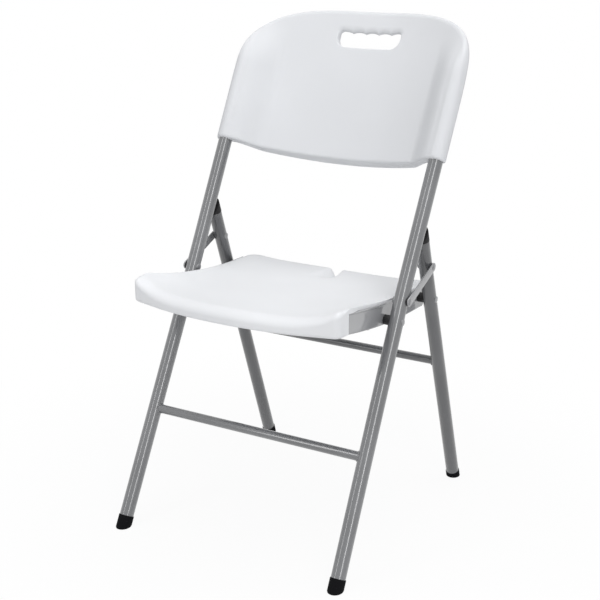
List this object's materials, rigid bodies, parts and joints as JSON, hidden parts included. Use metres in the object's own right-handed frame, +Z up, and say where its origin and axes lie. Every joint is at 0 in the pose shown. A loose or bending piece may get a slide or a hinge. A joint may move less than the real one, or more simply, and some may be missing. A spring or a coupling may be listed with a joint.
{
  "type": "folding chair",
  "caption": "Folding chair with a moulded white seat and curved back panel with a handle slot, on a grey steel tube frame that folds flat.",
  "frame": {"origin": "on the floor at the middle of the open chair's footprint", "axes": "+Z up, the chair faces -Y, +X is to the right as seen from the front"},
  "size_m": [0.4602, 0.5583, 0.8667],
  "materials": {
    "frame_steel": "satin grey powder coat",
    "link_steel": "satin lighter grey powder coat",
    "rivet_steel": "grey painted rivet heads",
    "seat_plastic": "fine-grained matte white moulded plastic",
    "back_plastic": "fine-grained matte white moulded plastic",
    "foot_rubber": "matte black",
    "black_plastic": "satin black",
    "zinc_screw": "zinc plated"
  },
  "bodies": {
    "front_frame": {"front_tube_left": "frame_steel", "front_tube_right": "frame_steel", "front_stretcher": "frame_steel", "front_foot_left": "foot_rubber", "front_foot_right": "foot_rubber", "back_panel": "back_plastic", "back_screws": "zinc_screw", "seat_pivot_rivet_left": "rivet_steel", "seat_pivot_rivet_right": "rivet_steel", "seat_pivot_bush_left": "black_plastic", "seat_pivot_bush_right": "black_plastic", "link_pivot_rivet_left": "rivet_steel", "link_pivot_rivet_right": "rivet_steel", "link_washer_left": "black_plastic", "link_washer_right": "black_plastic"},
    "seat": {"seat_shell": "seat_plastic", "seat_rail_left": "frame_steel", "seat_rail_right": "frame_steel", "crossbar_front": "frame_steel", "crossbar_rear": "frame_steel", "crossbar_rivets": "rivet_steel", "seat_screws": "zinc_screw"},
    "rear_frame": {"rear_leg_left": "frame_steel", "rear_leg_right": "frame_steel", "rear_foot_left": "foot_rubber", "rear_foot_right": "foot_rubber", "rear_top_cap_left": "black_plastic", "rear_top_cap_right": "black_plastic", "leg_pivot_rivet_left": "rivet_steel", "leg_pivot_rivet_right": "rivet_steel", "leg_pivot_bush_left": "black_plastic", "leg_pivot_bush_right": "black_plastic", "link_tail_rivet_left": "rivet_steel", "link_tail_rivet_right": "rivet_steel", "rear_stretcher": "frame_steel"},
    "link_left": {"link_strap_left": "link_steel", "link_head_left": "rivet_steel"},
    "link_right": {"link_strap_right": "link_steel", "link_head_right": "rivet_steel"}
  },
  "joints": [
    {"name": "seat_fold", "type": "hinge", "parent": "front_frame", "child": "seat", "pos_m": [0, -0.05085, 0.395], "axis": [-1, 0, 0], "range_deg": [0, 107.5]},
    {"name": "leg_fold", "type": "hinge", "parent": "seat", "child": "rear_frame", "pos_m": [0, 0.08159, 0.3986], "axis": [-1, 0, 0], "range_deg": [-60.2, 0]},
    {"name": "link_fold_left", "type": "hinge", "parent": "front_frame", "child": "link_left", "pos_m": [-0.22539, -0.03422, 0.4262], "axis": [-1, 0, 0], "range_deg": [0, 124.3]},
    {"name": "link_fold_right", "type": "hinge", "parent": "front_frame", "child": "link_right", "pos_m": [0.22539, -0.03422, 0.4262], "axis": [-1, 0, 0], "range_deg": [0, 124.3]}
  ],
  "couplings": [
    {"joint": "leg_fold", "follows": "seat_fold", "ratio": -0.5595},
    {"joint": "link_fold_left", "follows": "seat_fold", "ratio": 1.155},
    {"joint": "link_fold_right", "follows": "seat_fold", "ratio": 1.155}
  ]
}
